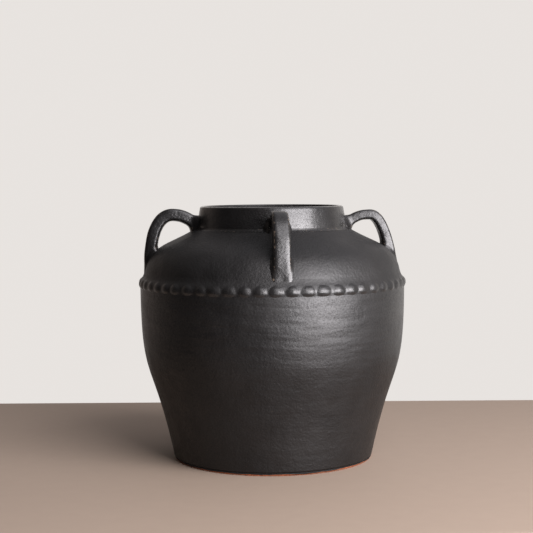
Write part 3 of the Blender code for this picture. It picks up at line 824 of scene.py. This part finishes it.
    final = steer(tree, "ADD", spot, scaled(facing, flare))
    hug = calc(tree, "MULTIPLY", calc(tree, "MULTIPLY", flare, flare), WIPED_DOWN)
    final = steer(tree, "SUBTRACT", final, scaled(outward, hug))
    distance, buried, _, gap = from_skin(final)
    deeper = calc(tree, "MAXIMUM", calc(tree, "SUBTRACT", buried, given["Bedded"]), 0.0)
    back_out = calc(tree, "DIVIDE", deeper, calc(tree, "MAXIMUM", distance, TOUCHING))
    final = steer(tree, "SUBTRACT", final, scaled(gap, back_out))
    corner = calc(tree, "ABSOLUTE", calc(tree, "MULTIPLY", across, up))
    sockets = {"Geometry": card, "Name": "thin", "Value": ramped(tree, corner, *CORNER_WORN)}
    marked = put(tree, "GeometryNodeStoreNamedAttribute", sockets, data_type="FLOAT", domain="POINT")
    return shaped(tree, given, result, marked.outputs[0], final)


STRAP = strap_tree()
spring = Vector((COLLAR_RADIUS, NECK_HEIGHT + HANDLE_SPRING))
root_height = WALL_HEIGHT + HANDLE_ROOT


def strap_line(depth, arch_rise, arch_share, bend, lean):
    """The middle line of one strap, from inside the collar, over its arch, down into the shoulder."""
    leg = radius_at(shoulder_line, root_height) - depth / 2
    arch = Vector((spring.x + arch_share * (leg - spring.x), NECK_HEIGHT + arch_rise))
    upwards = Vector((-lean, 1.0))
    elbow = Vector((leg, root_height)) + upwards * ELBOW_SHARE * (arch.y - root_height)
    span = arch.x - spring.x
    lift_off = LIFT_OFF * span
    arch_pull = Vector((ARCH_PULL * span, 0))
    rising = bezier((spring, spring + lift_off, arch - arch_pull, arch), STRAP_STEPS)
    pulls = Vector((bend * (elbow.x - arch.x), 0)), upwards * bend * (arch.y - elbow.y)
    falling = bezier((arch, arch + pulls[0], elbow + pulls[1], elbow), STRAP_STEPS)
    tail = Vector((leg, WALL_HEIGHT)) + TAIL
    return [spring - lift_off * LIFT_OFF_HIDDEN] + rising + falling[1:] + [tail]


skin = thrown("handle_skin", shoulder_line + collar_outside, inside_glaze, rows=160, cyclic=False)
handle_glaze = glaze("handle_glaze", satin=0.35, glassy=0.36, lines=0.0, worn_by="thin")
for number, (side, (degrees, twist, depth, fillet, *bent)) in enumerate(STRAPS.items()):
    name = f"pulled_handle_{side}"
    handle = made_solid(name, line_object(name, strap_line(depth, *bent), False), STRAP, {
        "Sides": HANDLE_SIDES, "Rows": HANDLE_ROWS,
        "Width": HANDLE_WIDTH, "Root Width": HANDLE_ROOT_WIDTH, "Depth": depth,
        "Squareness": HANDLE_SQUARENESS, "Fillet": fillet, "Bedded": HANDLE_BEDDED,
        "Turn": math.radians(degrees), "Twist": math.radians(twist), "Skin": skin,
        "Seed": HANDLE_SEED + HANDLE_SEED_STEP * number, "Material": handle_glaze,
    })
    belongs(handle, "black_glaze", f"handle_{side}", f"upper_luting_{side}", f"lower_luting_{side}")
bpy.data.objects.remove(skin)


# The stage is no part of the pot: a plain pale slab as the floor, a pale room round it, and two
# soft lights from the right. The camera stands where the photograph's camera stood.
CAMERA_DISTANCE = 1.300
CAMERA_HEIGHT = 0.2787
CAMERA_AZIMUTH = -5.0
FOCAL_PIXELS = 1300.0
PICTURE = 533
HORIZON_ROW = 178.2
AXIS_COLUMN = 271.9
ROLL = -0.42
FLOOR_COLOUR = (0.42, 0.325, 0.255, 1.0)
FLOOR_CLOUDS = (60.0, 4.0)
FLOOR_DARKER = 0.94
FLOOR_ROUGHNESS = 0.75
SLAB_LOW, SLAB_HIGH = Vector((-0.37, -0.300, -0.020)), Vector((0.37, 0.312, 0.0))
SLAB_BEVEL = 0.003
BACKDROP = (0.805, 0.770, 0.742, 1.0)
BACKDROP_SHADE = (0.24, 0.200, 0.180, 1.0)
ROOM_DIM = (0.014, 0.013, 0.013, 1.0)
CEILING = (0.115, 0.110, 0.110, 1.0)
CEILING_LIT = (0.60, 0.59, 0.63, 1.0)
RIGHT_WALL = (0.33, 0.32, 0.32, 1.0)
# Where each part of the room begins and is full, along one axis of the way that is looked.
BACK_WALL_FROM = (0.05, 0.55)
BACK_WALL_LIT_FROM = (-0.55, 0.05)
BACK_WALL_DIMS = (0.10, 0.30, 1.0, 0.65)
CEILING_FROM = (0.35, 0.75)
CEILING_LIT_FROM = (-0.35, 0.35)
RIGHT_WALL_FROM = (0.45, 0.95)
WINDOW_LIGHT = (1.0, 0.965, 0.99)
LIGHTS_AIM = Vector((0, 0, 0.14))
LIGHTS_AWAY = 1.5

square_on = Matrix.Rotation(math.radians(CAMERA_AZIMUTH), 4, "Z")
slab = bmesh.new()
bmesh.ops.create_cube(slab, size=1.0)
for corner in slab.verts:
    sides = zip(SLAB_LOW, SLAB_HIGH, corner.co + Vector((0.5, 0.5, 0.5)))
    corner.co = square_on @ Vector(low + share * (high - low) for low, high, share in sides)
bmesh.ops.bevel(slab, geom=slab.edges[:], offset=SLAB_BEVEL, segments=3, affect="EDGES")
floor_mesh = bpy.data.meshes.new("stage_floor")
slab.to_mesh(floor_mesh)
slab.free()
stage_floor = bpy.data.objects.new("stage_floor", floor_mesh)
bpy.context.scene.collection.objects.link(stage_floor)
floor_material, floor_nodes = clay_material("stage_floor")
floor_clouds = speckle(floor_nodes, object_place(floor_nodes), *FLOOR_CLOUDS)
floor_dark = tuple(FLOOR_DARKER * k for k in FLOOR_COLOUR[:3]) + (1.0,)
floor_tone = blended(floor_nodes, floor_clouds, floor_dark, FLOOR_COLOUR)
floor_shader = floor_nodes.nodes["Principled BSDF"].inputs
floor_nodes.links.new(floor_tone, floor_shader["Base Color"])
floor_shader["Roughness"].default_value = FLOOR_ROUGHNESS
floor_mesh.materials.append(floor_material)

world = bpy.data.worlds.new("room")
world.use_nodes = True
bpy.context.scene.world = world
room = world.node_tree
rightwards, backwards, upwards = split(room, put(room, "ShaderNodeTexCoord").outputs["Generated"])
behind = ramped(room, backwards, *BACK_WALL_FROM)
overhead = ramped(room, upwards, *CEILING_FROM)
path = put(room, "ShaderNodeLightPath").outputs
mirrored = calc(room, "MAXIMUM", path["Is Glossy Ray"], path["Is Transmission Ray"])
lit_side = calc(room, "MULTIPLY", ramped(room, rightwards, *BACK_WALL_LIT_FROM),
                ramped(room, upwards, *BACK_WALL_DIMS))
for share in (behind, calc(room, "SUBTRACT", 1.0, overhead), mirrored):
    lit_side = calc(room, "MULTIPLY", share, lit_side)
shown = calc(room, "MAXIMUM", path["Is Camera Ray"], lit_side)
ceiling = blended(room, ramped(room, rightwards, *CEILING_LIT_FROM), CEILING, CEILING_LIT)
front_tone = blended(room, ramped(room, rightwards, *RIGHT_WALL_FROM), ROOM_DIM, RIGHT_WALL)
room_tone = blended(room, overhead, blended(room, behind, front_tone, BACKDROP_SHADE), ceiling)
room.links.new(blended(room, shown, room_tone, BACKDROP), room.nodes["Background"].inputs["Color"])


def facing_along(way):
    """The turn of a lamp or camera that looks along a way."""
    return way.to_track_quat("-Z", "Y").to_matrix().to_4x4()


def soft_light(name, azimuth, elevation, width, height, watts):
    """A flat soft light aimed at the pot: azimuth from the front towards the right, in degrees."""
    lamp = bpy.data.lights.new(name, "AREA")
    lamp.shape = "RECTANGLE"
    lamp.size, lamp.size_y, lamp.energy, lamp.color = width, height, watts, WINDOW_LIGHT
    made = bpy.data.objects.new(name, lamp)
    a, e = math.radians(azimuth), math.radians(elevation)
    way = Vector((math.sin(a) * math.cos(e), -math.cos(a) * math.cos(e), math.sin(e)))
    place = way * LIGHTS_AWAY + LIGHTS_AIM
    made.matrix_world = Matrix.Translation(place) @ facing_along(LIGHTS_AIM - place)
    bpy.context.scene.collection.objects.link(made)


soft_light("wide_window", azimuth=36.0, elevation=6.0, width=1.22, height=0.88, watts=48.0)
soft_light("high_window", azimuth=34.0, elevation=42.0, width=1.35, height=0.90, watts=14.0)

lens = bpy.data.cameras.new("photo_camera")
lens.sensor_width = 36.0
lens.lens = lens.sensor_width * FOCAL_PIXELS / PICTURE
camera = bpy.data.objects.new("photo_camera", lens)
bpy.context.scene.collection.objects.link(camera)
away = math.radians(CAMERA_AZIMUTH)
tilt = math.atan2(PICTURE / 2 - HORIZON_ROW, FOCAL_PIXELS)
swing = math.atan2(AXIS_COLUMN - PICTURE / 2, FOCAL_PIXELS)
forward = Vector((-math.sin(away) * math.cos(tilt), math.cos(away) * math.cos(tilt), -math.sin(tilt)))
forward.rotate(Matrix.Rotation(swing, 3, "Z"))
stand = Vector((math.sin(away) * CAMERA_DISTANCE, -math.cos(away) * CAMERA_DISTANCE, CAMERA_HEIGHT))
rolled = Matrix.Rotation(math.radians(ROLL), 4, "Z")
camera.matrix_world = Matrix.Translation(stand) @ facing_along(forward) @ rolled
bpy.context.scene.camera = camera
bpy.context.scene.view_settings.view_transform = "Standard"
